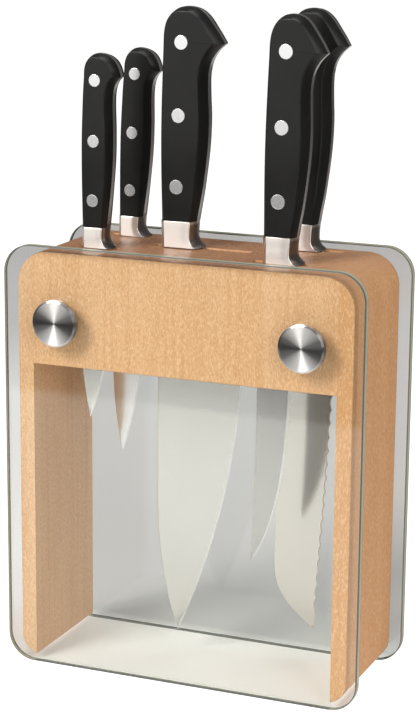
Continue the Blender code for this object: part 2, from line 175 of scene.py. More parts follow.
def turned(profile, segments=96):
    """A closed piece turned about Y from a closed profile of (radius, y)."""
    bm = bmesh.new()
    poles = [bm.verts.new((0.0, y, 0.0)) if r == 0 else None for r, y in profile]
    columns = []
    for k in range(segments):
        a = 2 * pi * k / segments
        columns.append([poles[i] or bm.verts.new((r * cos(a), y, r * sin(a)))
                        for i, (r, y) in enumerate(profile)])
    for k in range(segments):
        here, there = columns[k], columns[(k + 1) % segments]
        for i in range(len(profile)):
            j = (i + 1) % len(profile)
            corners = list(dict.fromkeys([here[i], here[j], there[j], there[i]]))
            if len(corners) > 2:
                bm.faces.new(corners)
    bmesh.ops.recalc_face_normals(bm, faces=bm.faces)
    return bm


def drill(node, radius, y_from, y_to, segments, material):
    """A round cutter along Y, through a node's middle."""
    bm = turned([(0.0, y_from), (radius, y_from), (radius, y_to), (0.0, y_to)], segments)
    bmesh.ops.translate(bm, verts=bm.verts, vec=(middle(node, 0), 0, middle(node, 2)))
    return add_object("cutter", bm, material)


def arc(centre, radius, start, end, steps):
    """Points along an arc, from one angle in degrees to another."""
    angles = [radians(start + (end - start) * k / steps) for k in range(steps + 1)]
    return [(centre[0] + radius * cos(a), centre[1] + radius * sin(a)) for a in angles]


def ease(t):
    """0 before 0, 1 after 1, and smooth between them."""
    t = min(max(t, 0.0), 1.0)
    return t * t * (3 - 2 * t)


def along(points, at):
    """A smooth curve through points (position, value), read at one position."""
    count = len(points)
    slopes = []
    for i in range(count):
        before, after = points[max(i - 1, 0)], points[min(i + 1, count - 1)]
        slopes.append((after[1] - before[1]) / (after[0] - before[0]))
    for i in range(count - 1):
        (a, value_a), (b, value_b) = points[i], points[i + 1]
        if at <= b or i == count - 2:
            span = b - a
            t = min(max((at - a) / span, 0.0), 1.0)
            rise = (t ** 3 - 2 * t * t + t) * slopes[i] + (t ** 3 - t * t) * slopes[i + 1]
            return value_a + (value_b - value_a) * ease(t) + rise * span


# ---- node helpers

class Nodes:
    """Makes and links a material's nodes."""

    def __init__(self, name):
        self.material = bpy.data.materials.new(name)
        self.material.use_nodes = True
        self.tree = self.material.node_tree
        self.shader = self.tree.nodes["Principled BSDF"]
        self.output = self.tree.nodes["Material Output"]

    def add(self, kind, **inputs):
        node = self.tree.nodes.new(kind)
        for key, value in inputs.items():
            name = key.replace("_", " ")
            if name in node.inputs:
                self.put(value, node.inputs[name])
            else:
                setattr(node, key, value)
        return node

    def put(self, value, socket):
        if isinstance(value, bpy.types.NodeSocket):
            self.tree.links.new(value, socket)
        else:
            socket.default_value = value

    def set(self, **inputs):
        for key, value in inputs.items():
            self.put(value, self.shader.inputs[key.replace("_", " ")])

    def axes(self, output="Object"):
        """X, Y and Z of the place on the object, or of its normal."""
        coordinates = self.add("ShaderNodeTexCoord").outputs[output]
        return self.add("ShaderNodeSeparateXYZ", Vector=coordinates).outputs

    def noise(self, scale, detail=3.0, roughness=0.55, shift=(0, 0, 0)):
        """Noise over the object: scale is in cycles a metre along X, Y and Z."""
        place = self.add("ShaderNodeTexCoord").outputs["Object"]
        mapping = self.add("ShaderNodeMapping", Vector=place, Scale=scale, Location=shift)
        return self.noise_at(mapping.outputs[0], detail, roughness)

    def noise_at(self, vector, detail, roughness=0.55):
        return self.add("ShaderNodeTexNoise", Vector=vector, Scale=1.0, Detail=detail,
                        Roughness=roughness, Distortion=0.0).outputs["Fac"]

    def ramp(self, value, stops):
        node = self.add("ShaderNodeValToRGB", Fac=value)
        elements = node.color_ramp.elements
        while len(elements) < len(stops):
            elements.new(0.5)
        for element, (position, color) in zip(elements, stops):
            element.position = position
            element.color = (*color, 1)
        return node.outputs["Color"]

    def spread(self, value, low, high, to_low=0.0, to_high=1.0):
        """Map low..high to to_low..to_high, and no further."""
        node = self.add("ShaderNodeMapRange", Value=value, From_Min=low, From_Max=high,
                        To_Min=to_low, To_Max=to_high)
        return node.outputs[0]

    def mix(self, factor, a, b):
        """A colour between two, each a triple or a socket."""
        node = self.add("ShaderNodeMix", data_type="RGBA")
        self.put(factor, node.inputs[0])
        self.put((*a, 1) if isinstance(a, tuple) else a, node.inputs[6])
        self.put((*b, 1) if isinstance(b, tuple) else b, node.inputs[7])
        return node.outputs[2]

    def math(self, operation, a, b=0.0):
        node = self.add("ShaderNodeMath", operation=operation)
        self.put(a, node.inputs[0])
        self.put(b, node.inputs[1])
        return node.outputs[0]

    def combine(self, kind, *inputs):
        """A shader node with its inputs in order."""
        node = self.add(kind)
        for value, socket in zip(inputs, node.inputs):
            self.put(value, socket)
        return node.outputs[0]

    def brush(self, axis, amount):
        """Stretch the gloss across lines that run round an axis."""
        tangent = self.add("ShaderNodeTangent", direction_type="RADIAL", axis=axis)
        self.set(Anisotropic=amount, Anisotropic_Rotation=0.25, Tangent=tangent.outputs[0])

    def bump(self, height, strength, distance):
        node = self.add("ShaderNodeBump", Height=height, Strength=strength,
                        Distance=distance)
        self.set(Normal=node.outputs[0])


# ---- materials

def beech(name, light, dark, shift=0.0):
    """Steamed beech: soft vertical bands, and short fine flecks along the grain."""
    n = Nodes(name)
    bands = n.noise((70, 70, 3.5), 4.0, shift=(shift, 0, 0))
    clouds = n.noise((60, 60, 22), 2.0, shift=(0, shift, 0))
    flecks = n.noise((1500, 1500, 620), 2.0, 0.5, (0, 0, shift))
    pale = n.noise((1400, 1400, 480), 2.0, 0.5, (shift, shift, 3))
    lines = n.noise((380, 380, 7), 2.0, shift=(3, shift, 0))
    tone = n.mix(n.spread(bands, 0.35, 0.65), light, dark)
    tone = n.mix(n.spread(clouds, 0.40, 0.68, 0.0, 0.30), tone, (0.64, 0.32, 0.135))
    tone = n.mix(n.spread(lines, 0.50, 0.68, 0.0, 0.42), tone, (0.60, 0.29, 0.11))
    tone = n.mix(n.spread(flecks, 0.48, 0.66, 0.0, 0.48), tone, (0.50, 0.23, 0.095))
    tone = n.mix(n.spread(pale, 0.50, 0.66, 0.0, 0.42), tone, (0.90, 0.61, 0.37))
    # End grain, which the top shows, takes the oil: it is darker. The top is lighter and more
    # orange towards the right.
    end = n.spread(n.axes("Normal")[2], 0.35, 0.95)
    pores = n.noise((800, 300, 800))
    end_tone = n.mix(n.spread(pores, 0.4, 0.65), (0.46, 0.235, 0.125), (0.33, 0.155, 0.075))
    end_tone = n.mix(n.spread(n.axes()[0], 0.03, 0.09, 0.0, 0.6), end_tone, (0.66, 0.37, 0.19))
    n.set(Base_Color=n.mix(end, tone, end_tone),
          Roughness=n.spread(flecks, 0.3, 0.7, 0.42, 0.56), Specular_IOR_Level=0.35)
    n.bump(n.math("SUBTRACT", pale, flecks), 0.14, 0.2 * MM)
    return n.material


def clear_glass():
    """Tempered glass that lamps shine through, green only in its depth."""
    n = Nodes("visual_clear_glass")
    n.set(Base_Color=(1, 1, 1, 1), Roughness=0.0, IOR=1.46, Transmission_Weight=1.0)
    path = n.add("ShaderNodeLightPath")
    clear = n.combine("ShaderNodeBsdfTransparent", (0.95, 0.97, 0.96, 1))
    shader = n.shader.outputs[0]
    for ray in ("Is Diffuse Ray", "Is Shadow Ray"):
        shader = n.combine("ShaderNodeMixShader", path.outputs[ray], shader, clear)
    n.put(shader, n.output.inputs["Surface"])
    depth = n.add("ShaderNodeVolumeAbsorption", Color=(0.60, 0.86, 0.76, 1), Density=9.0)
    n.put(depth.outputs[0], n.output.inputs["Volume"])
    return n.material


def turned_steel():
    """Faced on a lathe: fine rings about the knob's axis. Its colour is painted reflection:
    lighter above and below its middle, and a darker tone at its sides.
    """
    n = Nodes("visual_turned_steel")
    x, _, z = n.axes()
    radius = n.math("SQRT", n.math("ADD", n.math("MULTIPLY", x, x), n.math("MULTIPLY", z, z)))
    combined = n.add("ShaderNodeCombineXYZ", X=n.math("MULTIPLY", radius, 9000.0))
    rings = n.noise_at(combined.outputs[0], 2.0)
    # Painted reflection: the wedges of light that turned steel shows, lighter up and down the
    # face and darker at its sides.
    painted_wedge_mask = n.math("DIVIDE", n.math("ABSOLUTE", z), n.math("ADD", radius, 0.1 * MM))
    tone = n.mix(n.spread(painted_wedge_mask, 0.45, 0.95), (0.22, 0.215, 0.21), (0.66, 0.65, 0.64))
    n.set(Base_Color=tone, Metallic=1.0, Roughness=0.275)
    n.brush("Y", 1.0)
    n.bump(rings, 0.16, 0.05 * MM)
    return n.material


def forged_steel(name, tint):
    """Steel ground across its width, which spreads its gloss up and down. The bolster and tang
    are more satin, and warmer. The bolster's colour is painted light, by which way it faces."""
    n = Nodes(name)
    grind = n.noise((40, 40, 1300), 2.0)
    clouds = n.noise((14, 14, 14), 2.0)
    height = n.axes()[2]
    bolster = n.spread(height, 0.0, MM)
    roughness = n.spread(clouds, 0.3, 0.7, 0.15, 0.19)
    # Painted light on a bolster: its sides painted dark as painted shade, its corners painted
    # bright as a painted highlight, and its faces painted dimmer towards the corners.
    side, corner, dim, face = ((0.27, 0.235, 0.21), (1.0, 0.95, 0.90), (0.36, 0.33, 0.305),
                               (0.69, 0.65, 0.615))
    painted_bolster_light = n.ramp(n.math("ABSOLUTE", n.axes("Normal")[1]),
                   ((0.0, side), (0.38, side), (0.46, corner), (0.92, corner), (0.965, dim),
                    (0.999, face)))
    below_scales = n.spread(height, 12.5 * MM, 13.5 * MM, 1.0, 0.0)
    # The tang above keeps a plain warm colour; below it the bolster takes the painted light.
    satin = n.mix(below_scales, (0.66, 0.60, 0.555), painted_bolster_light)
    n.set(Base_Color=n.mix(bolster, tint, satin), Metallic=1.0,
          Roughness=n.math("ADD", roughness, n.math("MULTIPLY", bolster, 0.12)))
    n.brush("Z", 0.8)
    n.bump(grind, 0.002, 0.03 * MM)
    return n.material


def rivet_steel():
    """Rivet ends sanded flush with the handle: a fine grain in no direction."""
    n = Nodes("visual_rivet_steel")
    grain = n.noise((2600, 2600, 2600), roughness=0.7)
    n.set(Base_Color=n.mix(grain, (0.66, 0.66, 0.66), (0.88, 0.88, 0.88)), Metallic=1.0,
          Roughness=0.27)
    n.bump(grain, 0.10, 0.04 * MM)
    return n.material


def black_handle():
    """Moulded handle scales with a satin polish."""
    n = Nodes("visual_black_handle")
    fine = n.noise((2200, 2200, 2200), 2.0)
    wear = n.noise((35, 35, 35))
    tone = n.mix(n.spread(wear, 0.3, 0.7), (0.006, 0.006, 0.006), (0.010, 0.010, 0.009))
    n.set(Base_Color=tone, Roughness=n.spread(wear, 0.3, 0.7, 0.27, 0.35),
          Specular_IOR_Level=0.28)
    n.bump(fine, 0.05, 0.06 * MM)
    return n.material


def glass_rim():
    """Ground rim of a panel: green-grey at its arrises, and between them a cream band of
    painted light, standing in for the light seen through the glass's edge.
    """
    n = Nodes("visual_glass_edge")
    outer, inner = (abs(corner[1]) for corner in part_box("front_glass_panel"))
    depth = n.spread(n.math("ABSOLUTE", n.axes()[1]), inner, outer)
    mottle = n.noise((300, 300, 300))
    # Painted light: the cream and olive band across the rim's middle stands in for light seen
    # through the edge.
    tone = n.ramp(depth, ((0.0, (0.16, 0.17, 0.145)), (0.16, (0.20, 0.205, 0.17)),
                          (0.24, (0.56, 0.51, 0.37)), (0.72, (0.42, 0.40, 0.29)),
                          (0.84, (0.095, 0.11, 0.10)), (1.0, (0.085, 0.105, 0.095))))
    n.set(Base_Color=n.mix(n.spread(mottle, 0.3, 0.7, 0.0, 0.2), tone, (0.20, 0.21, 0.15)),
          Roughness=0.38, Specular_IOR_Level=0.35)
    n.bump(mottle, 0.1, 0.1 * MM)
    return n.material


def plain(name, low, high, roughness, metallic=0.0):
    """A faintly mottled surface, between two colours."""
    n = Nodes(name)
    mottle = n.noise((300, 300, 300))
    n.set(Base_Color=n.mix(mottle, low, high), Roughness=roughness, Metallic=metallic)
    n.bump(mottle, 0.1, 0.1 * MM)
    return n.material


# ---- wooden frame

def wood_top(x):
    """The height of the frame's rounded top at x."""
    past = abs(x) - (WOOD_WIDTH / 2 - WOOD_CORNER_RADIUS)
    if past <= 0:
        return WOOD_TOP
    return WOOD_TOP - WOOD_CORNER_RADIUS + sqrt(max(WOOD_CORNER_RADIUS ** 2 - past ** 2, 0))


def make_leg(side, name, material):
    outer = WOOD_WIDTH / 2
    foot = (outer - LEG_FOOT_RADIUS, LEG_BOTTOM + LEG_FOOT_RADIUS)
    crown = (outer - WOOD_CORNER_RADIUS, WOOD_TOP - WOOD_CORNER_RADIUS)
    sole = foot[1] - sqrt(LEG_FOOT_RADIUS ** 2 - (LEG_INNER - foot[0]) ** 2)
    outline = [(LEG_INNER, sole)] + arc(foot, LEG_FOOT_RADIUS, LEG_FOOT_START, 0, 20)
    outline += [p for p in arc(crown, WOOD_CORNER_RADIUS, 0, 90, 40) if p[0] > LEG_INNER]
    outline.append((LEG_INNER, wood_top(LEG_INNER)))
    outline = [(side * x, z) for x, z in outline]
    bm = extruded(outline, WOOD_FRONT, WOOD_REAR)
    soften(bm, WOOD_EDGE_ROUND, 3,
           lambda e: any(abs(v.co.x) > LEG_INNER + 0.01 * MM for v in e.verts))
    leg = add_object(f"{name}_wood", bm, material)
    finish_mesh(leg, WOOD_SHARP)
    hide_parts(name)
    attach(leg, "block_frame")


def slot_spans():
    """Each slot as (row, left end, right end), from the spacers on either side of it."""
    spans = []
    for row in ROW_Y:
        places = ("left", "right") if row == "middle" else ("left", "centre", "right")
        boxes = [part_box(f"{row}_spacer_{place}") for place in places]
        for left, right in zip(boxes, boxes[1:]):
            spans.append((row, left[1][0], right[0][0]))
    return spans


def slot_cutter(row, left, right, material):
    """A slot with eased ends, flared a little where it meets the block's top."""
    y = ROW_Y[row]

    def ring(z, grow):
        radius = SLOT_CORNER_RADIUS + grow
        half = SLOT_HALF + grow
        corners = ((right + grow - radius, y + half - radius, 0),
                   (left - grow + radius, y + half - radius, 90),
                   (left - grow + radius, y - half + radius, 180),
                   (right + grow - radius, y - half + radius, 270))
        points = []
        for cx, cy, start in corners:
            points += [(px, py, z) for px, py in arc((cx, cy), radius, start, start + 90, 5)]
        return points

    rings = [ring(BLOCK_BOTTOM - MM, 0.0), ring(WOOD_TOP - 0.5 * MM, 0.0),
             ring(WOOD_TOP - 0.25 * MM, 0.1 * MM), ring(WOOD_TOP, 0.35 * MM),
             ring(WOOD_TOP + MM, 1.35 * MM)]
    return add_object("cutter", lofted(rings), material)


def make_block(material):
    """The glued-up block shows as one piece of wood with its slots."""
    edge = LEG_INNER
    corner = WOOD_WIDTH / 2 - WOOD_CORNER_RADIUS
    steps = [corner + (edge - corner) * k / 16 for k in range(17)]
    top = [(x, wood_top(x)) for x in reversed(steps)]
    top += [(-x, z) for x, z in reversed(top)]
    outline = [(-edge, BLOCK_BOTTOM), (edge, BLOCK_BOTTOM)] + top
    bm = extruded(outline, WOOD_FRONT, WOOD_REAR)
    soften(bm, WOOD_EDGE_ROUND, 3,
           lambda e: any(abs(v.co.x) < edge - 0.01 * MM for v in e.verts)
           or e.verts[0].co.z == e.verts[1].co.z)
    block = add_object("slotted_block", bm, material)
    cutters = [slot_cutter(*span, material) for span in slot_spans()]
    for place, facing, y in (("front", -1, WOOD_FRONT), ("rear", 1, WOOD_REAR)):
        for side in ("left", "right"):
            node = f"insert_{place}_{side}"
            low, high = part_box(node)
            reach = high[1] - low[1] + 0.3 * MM
            cutters.append(drill(node, INSERT_HOLE_RADIUS, y - facing * reach,
                                 y + facing * MM, 32, material))
    cut(block, cutters, WOOD_SHARP)
    nodes = [f"block_{order}_board" for order in ("front", "second", "third", "rear")]
    nodes += [f"{row}_spacer_{place}" for row in ROW_Y for place in ("left", "right")]
    nodes += ["front_spacer_centre", "rear_spacer_centre"]
    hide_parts(*nodes)
    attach(block, "block_frame")


# ---- glass and clamps

def make_panel(place, material, edge):
    node = f"{place}_glass_panel"
    low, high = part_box(node)
    half, height, r = high[0], high[2], PANEL_CORNER_RADIUS
    outline = (arc((half - r, r), r, -90, 0, 20) + arc((half - r, height - r), r, 0, 90, 20)
               + arc((r - half, height - r), r, 90, 180, 20)
               + arc((r - half, r), r, 180, 270, 20))
    bm = extruded(outline, low[1], high[1])
    soften(bm, PANEL_ARRIS, 2, lambda e: e.verts[0].co.y == e.verts[1].co.y)
    bm.normal_update()
    for face in bm.faces:
        face.material_index = 1 if abs(face.normal.y) < 0.99 else 0
    panel = add_object(f"{place}_glass", bm, material)
    panel.data.materials.append(edge)
    cut(panel, [drill(f"knob_{place}_{side}", PANEL_HOLE_RADIUS, low[1] - MM, high[1] + MM,
                      48, material) for side in ("left", "right")], GLASS_SHARP)
    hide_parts(node)
    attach(panel, f"{place}_panel")


def make_knob(place, side, material):
    """A turned knob on its stud: rounded rims, a groove round it, and a dished face.

    Its profile is in (radius, distance out from the seat)."""
    node = f"knob_{place}_{side}"
    low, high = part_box(node)
    facing = -1 if place == "front" else 1
    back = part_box(f"washer_{place}_{side}")
    seat = (back[0][1] if facing < 0 else back[1][1]) + facing * 0.3 * MM
    rim = (high[0] - low[0]) / 2
    face = abs((low[1] if facing < 0 else high[1]) - seat)
    stud_end = -(abs(high[1] - low[1]) - face)
    groove = face * 0.60
    base = rim - 0.2 * MM           # radius behind the groove
    groove_floor = rim - 0.75 * MM
    face_edge = rim - 1.15 * MM     # radius where the chamfered rim ends
    crest, root = 2.5 * MM, 2.2 * MM
    dish = 0.55 * MM
    profile = [(0.0, stud_end), (2.1 * MM, stud_end), (crest, stud_end + 0.5 * MM)]
    for k in range(18):     # the stud's thread, as rings
        y = stud_end + (0.9 + 0.5 * k) * MM
        if y < -0.6 * MM:
            profile.append((crest if k % 2 else root, y))
    profile += [(crest, -0.3 * MM), (crest, 0.0)]
    profile += arc((base - 0.5 * MM, 0.5 * MM), 0.5 * MM, -90, 0, 5)
    profile += [(base, 0.7 * MM), (base, groove - 0.45 * MM)]
    profile += arc((rim - 0.45 * MM, groove - 0.45 * MM), 0.25 * MM, 0, 90, 3)
    profile += [(groove_floor, groove - 0.15 * MM), (groove_floor, groove + 0.15 * MM)]
    profile += arc((rim - 0.25 * MM, groove + 0.4 * MM), 0.25 * MM, -90, 0, 3)
    profile += arc((rim - 0.2 * MM, face - 0.65 * MM), 0.2 * MM, 0, 66, 3)
    profile += [(rim - 1.05 * MM, face), (face_edge, face - 0.02 * MM)]
    for k in range(1, 8):   # the face dishes towards its middle
        t = k / 8
        profile.append((face_edge * (1 - t), face - 0.02 * MM - dish * t))
    profile.append((0.0, face - dish - 0.03 * MM))
    bm = turned([(r, facing * y) for r, y in profile])
    crease(bm, KNOB_SHARP)
    knob = add_object(f"{place}_{side}_knob_steel", bm, material)
    finish_mesh(knob)
    knob.location = (middle(node, 0), seat, middle(node, 2))
    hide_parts(node)
    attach(knob, f"{place}_{side}_knob")


# ---- knives

# A handle's outline is (height, reach) in millimetres: its back is the spine side, its grip
# the edge side up to the hook's tip, and its hook the rest, up to the crown. Insets say how
# far the rounding at the spine, crown and grip reaches in.
LARGE_HANDLE = {
    "bolster": 14.4 * MM, "bolster_half": 7.5 * MM, "half": 9.0 * MM,
    "top": 125.9 * MM, "crown": 14.2 * MM, "shoulder_power": 2.35,
    "back": ((0.0, 0.0), (14.0, -0.2), (32.0, -0.4), (55.0, -0.5), (72.0, -0.3), (90.0, 0.2),
             (106.0, 0.75)),
    "grip": ((0.0, 18.9), (14.0, 19.6), (31.0, 22.7), (52.0, 25.3), (68.0, 26.0), (81.0, 25.5),
             (91.0, 25.5), (98.0, 27.1), (103.6, 30.7), (107.3, 34.8)),
    "hook": ((107.3, 34.8), (111.3, 32.3), (116.7, 28.3), (123.1, 22.7), (125.3, 18.8),
             (125.9, 14.2)),
    "rivets": ((32.8, 10.5), (70.2, 11.8), (107.9, 13.2)), "rivet_radius": 3.8 * MM,
    "insets": (3.0 * MM, 2.0 * MM, 2.8 * MM), "bolster_insets": (3.4 * MM, 1.75 * MM),
}
SMALL_HANDLE = {
    "bolster": 11.4 * MM, "bolster_half": 6.2 * MM, "half": 7.5 * MM,
    "top": 101.9 * MM, "crown": 9.7 * MM, "shoulder_power": 2.1,
    "back": ((0.0, 0.2), (11.0, 0.0), (36.0, -0.1), (58.0, 0.1), (75.0, 0.7), (83.0, 1.1),
             (90.0, 1.6)),
    "grip": ((0.0, 13.4), (11.0, 13.8), (18.0, 14.6), (31.0, 16.2), (47.0, 17.4), (62.5, 17.6),
             (76.0, 17.3), (82.5, 17.8), (87.0, 19.4), (90.0, 22.1)),
    "hook": ((90.0, 22.1), (93.9, 21.0), (98.2, 18.4), (100.7, 15.2), (101.6, 12.5),
             (101.9, 9.7)),
    "rivets": ((25.8, 7.9), (57.0, 8.9), (88.4, 9.8)), "rivet_radius": 3.3 * MM,
    "insets": (2.4 * MM, 1.7 * MM, 2.3 * MM), "bolster_insets": (2.5 * MM, 1.2 * MM),
}
# Tip and heel are (depth, reach) in millimetres, a spine bend is (depth, power), and an edge
# power is (along the blade, across it).
KNIVES = {
    "paring": {"handle": SMALL_HANDLE, "row": "front", "spine_x": -66.7, "set_back": 1.4,
               "width": 1.0, "lean": 0.0, "tip": (92.7, 5.3), "heel": (5.0, 19.4),
               "spine_bend": (45.0, 1.9), "edge_power": (2.35, 1.0), "thickness": 2.0},
    "utility": {"handle": SMALL_HANDLE, "row": "rear", "spine_x": -65.7, "set_back": 2.4,
                "width": 1.0, "lean": 1.1, "tip": (122.1, 6.5), "heel": (6.0, 18.4),
                "spine_bend": (70.0, 1.9), "edge_power": (3.3, 1.0), "thickness": 2.0},
    "chefs": {"handle": LARGE_HANDLE, "row": "middle", "spine_x": -30.9, "set_back": 2.0,
              "width": 1.0, "lean": 0.0, "tip": (213.9, 12.1), "heel": (14.0, 50.4),
              "spine_bend": (140.0, 2.15), "edge_power": (2.35, 1.0), "thickness": 2.8},
    "bread": {"handle": LARGE_HANDLE, "row": "rear", "spine_x": 30.6, "set_back": 1.7,
              "width": 0.96, "lean": 0.2, "tip": (209.1, 23.7), "heel": (9.0, 33.0),
              "spine_bend": (172.0, 2.6), "edge_power": (1.55, 1.0), "thickness": 2.4},
    "boning": {"handle": LARGE_HANDLE, "row": "front", "spine_x": 35.1, "set_back": 1.6,
               "width": 0.9, "lean": 0.65, "tip": (160.2, -1.6), "heel": (5.0, 22.8),
               "spine_bend": (108.0, 1.6), "edge_power": (4.0, 0.8), "thickness": 2.4},
}
NARROWING = {"boning": (4.5 * MM, 24.0 * MM)}     # (how much, down to what depth)
SCALLOP_LENGTH = 7.6 * MM
SCALLOP_DEPTH = 1.15 * MM
SCALLOP_GROWTH = 0.15           # how much deeper they get down the blade
SCALLOPS_END = 0.955            # the share of the edge that has them
FACET_DEPTH = 1.0 * MM          # how much wider the bevel is where one is deepest
BEVEL_WIDTH, BREAD_BEVEL_WIDTH = 0.8 * MM, 0.5 * MM
ROOT = -0.95 * MM               # the blade's top, which is inside the bolster
TANG_HALF = 1.5 * MM


def handle_sides(knife, height):
    """The handle outline's spine side and grip side at a height above the block."""
    handle = knife["handle"]
    top, crown = handle["top"], handle["crown"]
    back = [(h * MM, reach * MM) for h, reach in handle["back"]]
    shoulder = back[-1][0]
    if height <= shoulder:
        left = along(back, height)
    else:
        power = handle["shoulder_power"]
        fall = min((height - shoulder) / (top - shoulder), 1.0)
        left = crown - (crown - back[-1][1]) * (1 - fall ** power) ** (1 / power)
    hook_height = handle["hook"][0][0] * MM
    if height <= hook_height:
        right = along([(h * MM, reach * MM) for h, reach in handle["grip"]], height)
    else:
        crown_side = [(sqrt(max(top - h * MM, 0.0)), reach * MM)
                      for h, reach in reversed(handle["hook"])]
        right = along(crown_side, sqrt(max(top - height, 0.0)))
    set_back, width = knife["set_back"] * MM, knife["width"]
    return set_back + left * width, set_back + right * width


def half_thickness(handle, height):
    """The handle thickens upwards from the bolster."""
    rise = min(max((height - handle["bolster"]) / (50 * MM), 0.0), 1.0)
    foot = handle["bolster_half"]
    return foot + (handle["half"] - foot) * sin(pi / 2 * rise)


def handle_outline(knife, low):
    """The handle's outline up the spine side, over the crown and down the grip side.

    Each point is (x, z, side): side is 0 along the spine, 1 at the crown and 2 along the
    grip. The two sides share their heights, so that a point has its partner across."""
    handle = knife["handle"]
    top, hook = handle["top"], handle["hook"][0][0] * MM
    bend = hook - 12 * MM
    heights = [low + (bend - low) * k / 22 for k in range(22)]
    heights += [bend + (hook - bend) * k / 12 for k in range(12)]
    heights += [hook + (top - hook) * sin(pi / 2 * k / 24) for k in range(24)]
    past = [max(h - hook, 0.0) / (top - hook) for h in heights]
    spine = [(handle_sides(knife, h)[0], h, ease(p * 1.3)) for h, p in zip(heights, past)]
    grip = [(handle_sides(knife, h)[1], h, 2.0 - ease(p * 1.2)) for h, p in zip(heights, past)]
    return spine + [(handle_sides(knife, top)[0], top, 1.0)] + grip[::-1]


NEAR_TIP = 12   # how many points on each side of the hook's tip its mitre can move


def offset_outline(points, insets):
    """The outline drawn in by its insets, mitred at the hook's tip."""
    count = len(points)
    moved = []
    for i, (x, z, _) in enumerate(points):
        before, after = points[max(i - 1, 0)], points[min(i + 1, count - 1)]
        dx, dz = after[0] - before[0], after[1] - before[1]
        size = hypot(dx, dz)
        moved.append((x + dz / size * insets[i], z - dx / size * insets[i]))
    tip = max(range(count), key=lambda i: points[i][0])
    corner = Vector(points[tip][:2])
    above = (Vector(points[tip - 3][:2]) - corner).normalized()
    below = (Vector(points[tip + 3][:2]) - corner).normalized()
    inward = (above + below).normalized()
    mitre = insets[tip] / sin(inward.angle(above))
    for i in range(tip - NEAR_TIP, min(tip + NEAR_TIP + 1, count)):
        place = Vector(moved[i]) - corner
        side = inward.x * place.y - inward.y * place.x
        if i == tip:
            moved[i] = tuple(corner + inward * mitre)
        elif (side < 0) if i > tip else (side > 0):
            moved[i] = tuple(corner + inward * min(place.dot(inward), mitre))
    return moved


# The rounding from the tang (0) to the flat (1): an arc that ends in a crease.
CREASE_ANGLE, TANG_ANGLE = 40, 71


def rounding(steps):
    """Pairs (share of the way out to the flat, share of the inset)."""
    low, high = radians(CREASE_ANGLE), radians(TANG_ANGLE)
    shares = []
    for k in range(steps + 1):
        a = high + (low - high) * k / steps
        shares.append(((cos(a) - cos(high)) / (cos(low) - cos(high)),
                       (sin(high) - sin(a)) / (sin(high) - sin(low))))
    return shares


def inset_at(handle, point):
    """How far the rounding reaches in at a point (x, z, side) of the outline."""
    _, height, side = point
    spine, crown, grip = handle["insets"]
    spine_foot, grip_foot = handle["bolster_insets"]
    near = ease((height - handle["bolster"]) / (26 * MM))
    if side <= 1:
        inset, foot = spine + (crown - spine) * side, spine_foot
    else:
        inset, foot = crown + (grip - crown) * (side - 1), grip_foot
    return foot + (inset - foot) * near


def make_scale(name, knife, facing, material, carrier):
    """One handle scale: a flat outside, a crease round it, and a rounding to the tang."""
    handle = knife["handle"]
    low = handle["bolster"] + 0.06 * MM
    points = handle_outline(knife, low)
    inner = TANG_HALF + 0.02 * MM
    rings = []
    for out, share in rounding(12):
        insets = [inset_at(handle, point) * share for point in points]
        ring = []
        for (x, z), (_, at, _) in zip(offset_outline(points, insets), points):
            half = half_thickness(handle, at)
            ring.append((x, facing * (inner + (half - inner) * out), max(z, low)))
        rings.append(ring)
    # A fine round along the crease, before the flat.
    last = rings[-1]
    inner_line = offset_outline(points, [inset_at(handle, p) + 0.35 * MM for p in points])
    rings.append([(x, y + facing * 0.10 * MM, max(z, low))
                  for (x, z), (_, y, _) in zip(inner_line, last)])
    bm = lofted(rings, close_ends=False)
    count = len(points)
    bm.verts.ensure_lookup_table()
    bm.faces.new(bm.verts[:count])
    flat = bm.verts[-count:]
    for i in range((count - 1) // 2):   # strips across, between partners
        corners = (flat[i], flat[i + 1], flat[count - 2 - i], flat[count - 1 - i])
        bm.faces.new(list(dict.fromkeys(corners)))
    bmesh.ops.recalc_face_normals(bm, faces=bm.faces)
    crease(bm, SCALE_SHARP)
    place = "front" if facing < 0 else "rear"
    scale = add_object(f"{name}_{place}_handle_scale", bm, material)
    finish_knife_piece(scale, name, carrier, f"{name}_{place}_scale")


def finish_knife_piece(piece, name, carrier, node):
    finish_mesh(piece)
    piece.matrix_world = carrier
    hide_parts(node)
    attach(piece, f"{name}_knife")


def blade_sides(name, knife, depth):
    """The blade outline's spine and edge at a depth below the block's top."""
    length, tip = (value * MM for value in knife["tip"])
    heel_depth, heel = (value * MM for value in knife["heel"])
    bend_depth, bend_power = knife["spine_bend"]
    bend_depth *= MM
    spine = 0.0
    if depth > bend_depth:
        spine = tip * ((depth - bend_depth) / (length - bend_depth)) ** bend_power
    step, step_depth = NARROWING.get(name, (0.0, 1.0))
    power, root = knife["edge_power"]
    if depth < heel_depth:
        grip = (knife["handle"]["grip"][0][1] * knife["width"] + knife["set_back"]) * MM
        flare_top = -8.0 * MM
        flare = max(depth - flare_top, 0.0) / (heel_depth - flare_top)
        return spine, grip + (heel - grip) * flare ** 1.9
    down = (depth - heel_depth) / (length - heel_depth)
    edge = tip + (heel - step - tip) * max(1 - down ** power, 0.0) ** root
    if depth < step_depth:
        edge += step * (1 - (depth - heel_depth) / (step_depth - heel_depth)) ** 2
    return spine, edge


def scallop(name, knife, depth):
    """How far a bread knife's scalloped edge steps in at a depth."""
    if name != "bread":
        return 0.0
    length, heel_depth = knife["tip"][0] * MM, knife["heel"][0] * MM
    down = (depth - heel_depth) / (length - heel_depth)
    if down < 0.0 or down > SCALLOPS_END:
        return 0.0
    wave = ((depth - heel_depth) / SCALLOP_LENGTH) % 1.0
    return SCALLOP_DEPTH * (1 + SCALLOP_GROWTH * down) * sin(pi * wave) ** 0.7


EDGE_STATION = 10   # the edge's place in a section's first half


